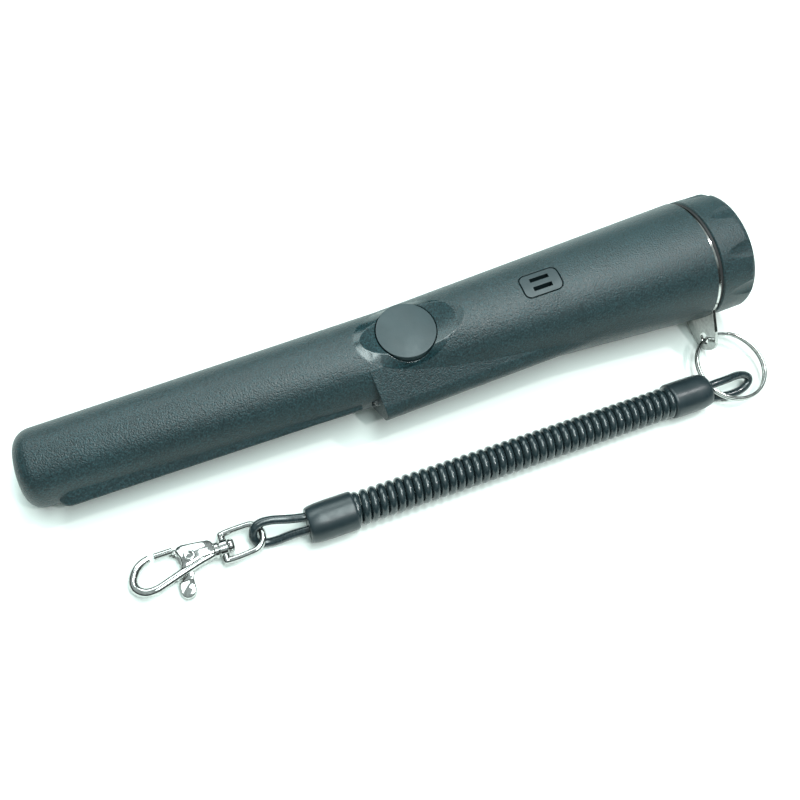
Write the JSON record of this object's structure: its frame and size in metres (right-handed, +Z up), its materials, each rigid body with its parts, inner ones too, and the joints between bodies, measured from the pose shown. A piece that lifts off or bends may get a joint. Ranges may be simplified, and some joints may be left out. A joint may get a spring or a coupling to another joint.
{
  "type": "pinpointer probe",
  "caption": "Hand-held metal-detecting pinpointer probe: tapered casing with side blade, lamp, button and battery cap, with a washer, split ring and coiled cord lanyard with a swivel clasp.",
  "frame": {"origin": "on the resting surface, under the middle of the probe and its washer's ear", "axes": "+X along the probe from the tip to the battery cap, +Z up out of the resting surface with the power button on top, the scraping blade and the lanyard towards -Y"},
  "size_m": [0.2268, 0.0653, 0.0391],
  "materials": {
    "casing_plastic": "fine moulded grain, satin",
    "cap_plastic": "fine moulded grain, satin",
    "button_plastic": "smooth satin",
    "grille_plastic": "smooth satin",
    "inner_plastic": "plain moulded",
    "bobbin_plastic": "plain moulded",
    "dome_rubber": "matt",
    "gasket_rubber": "matt",
    "board_laminate": "solder mask",
    "component_black": "moulded packages",
    "ferrite": "ground",
    "copper_wire": "enamelled",
    "lead_insulation": "soft sleeve",
    "lamp_lens": "clear",
    "motor_can": "plated",
    "weight_metal": "sintered",
    "battery_sleeve": "painted sleeve",
    "terminal_plate": "plated",
    "bright_nickel": "bright nickel plate",
    "cord_plastic": "glossy sheath",
    "sleeve_plastic": "smooth satin"
  },
  "bodies": {
    "probe": {"upper_casing": "casing_plastic", "lower_casing": "casing_plastic", "threaded_neck": "inner_plastic", "neck_thread": "inner_plastic", "rubber_dome": "dome_rubber", "tact_switch": "inner_plastic", "speaker_grille": "grille_plastic", "buzzer": "inner_plastic", "circuit_board": "board_laminate", "board_components": "component_black", "board_saddles": "inner_plastic", "bulkhead": "inner_plastic", "ferrite_rod": "ferrite", "coil_bobbin": "bobbin_plastic", "search_winding": "copper_wire", "rod_mount": "inner_plastic", "coil_leads": "copper_wire", "led": "lamp_lens", "vibration_motor": "motor_can", "battery": "battery_sleeve", "battery_terminals": "terminal_plate", "battery_connector": "inner_plastic", "battery_leads": "lead_insulation"},
    "button": {"power_button": "button_plastic"},
    "motor_rotor": {"motor_weight": "weight_metal"},
    "cap_seal": {"cap_gasket": "gasket_rubber"},
    "cap": {"battery_cap": "cap_plastic", "cap_pad": "gasket_rubber"},
    "washer": {"lanyard_washer": "bright_nickel"},
    "ring": {"split_ring": "bright_nickel"},
    "lanyard": {"ring_loop": "cord_plastic", "ring_sleeve": "sleeve_plastic", "lanyard_coil": "cord_plastic", "clasp_sleeve": "sleeve_plastic", "clasp_loop": "cord_plastic"},
    "clasp_bow": {"clasp_eye": "bright_nickel"},
    "clasp": {"clasp_hook": "bright_nickel", "clasp_body": "bright_nickel", "clasp_rivet": "bright_nickel"},
    "gate": {"clasp_gate": "bright_nickel"}
  },
  "joints": [
    {"name": "button_press", "type": "slide", "parent": "probe", "child": "button", "axis": [0.0393, 0, -0.9992], "range_m": [0, 0.0008], "stiffness_N_per_m": 600},
    {"name": "weight_spin", "type": "hinge", "parent": "probe", "child": "motor_rotor", "pos_m": [0.03942, 0.00396, 0.01048], "axis": [0.9992, 0, 0.0393], "continuous": true},
    {"name": "cap_lift", "type": "slide", "parent": "probe", "child": "cap_seal", "axis": [0.9992, 0, 0.0393], "range_m": [0, 0.00601]},
    {"name": "cap_turn", "type": "hinge", "parent": "cap_seal", "child": "cap", "pos_m": [0.10711, 0.00396, 0.01975], "axis": [0.9992, 0, 0.0393], "range_deg": [0, 900]},
    {"name": "washer_swivel", "type": "hinge", "parent": "probe", "child": "washer", "pos_m": [0.09842, 0.00396, 0.01941], "axis": [-0.9992, 0, -0.0393], "range_deg": [0, 60]},
    {"name": "ring_swing", "type": "hinge", "parent": "washer", "child": "ring", "pos_m": [0.09889, -0.01896, 0.00594], "axis": [-0.9627, -0.2706, 0], "range_deg": [0, 50]},
    {"name": "lanyard_swing", "type": "hinge", "parent": "ring", "child": "lanyard", "pos_m": [0.10193, -0.02979, 0.0049], "axis": [0, 0, 1], "range_deg": [0, 60]},
    {"name": "bow_swing", "type": "hinge", "parent": "lanyard", "child": "clasp_bow", "pos_m": [-0.05852, -0.03204, 0.0037], "axis": [0, 0, 1], "range_deg": [-25, 15]},
    {"name": "clasp_swivel", "type": "hinge", "parent": "clasp_bow", "child": "clasp", "pos_m": [-0.06612, -0.03204, 0.003], "axis": [1, 0, 0], "continuous": true},
    {"name": "gate_open", "type": "hinge", "parent": "clasp", "child": "gate", "pos_m": [-0.07522, -0.03134, 0.003], "axis": [0, 0, 1], "range_deg": [0, 25], "stiffness_Nm_per_rad": 0.02, "springref_deg": -17.19}
  ],
  "couplings": [
    {"joint": "cap_lift", "follows": "cap_turn", "m_per_rad": 0.00038197}
  ]
}
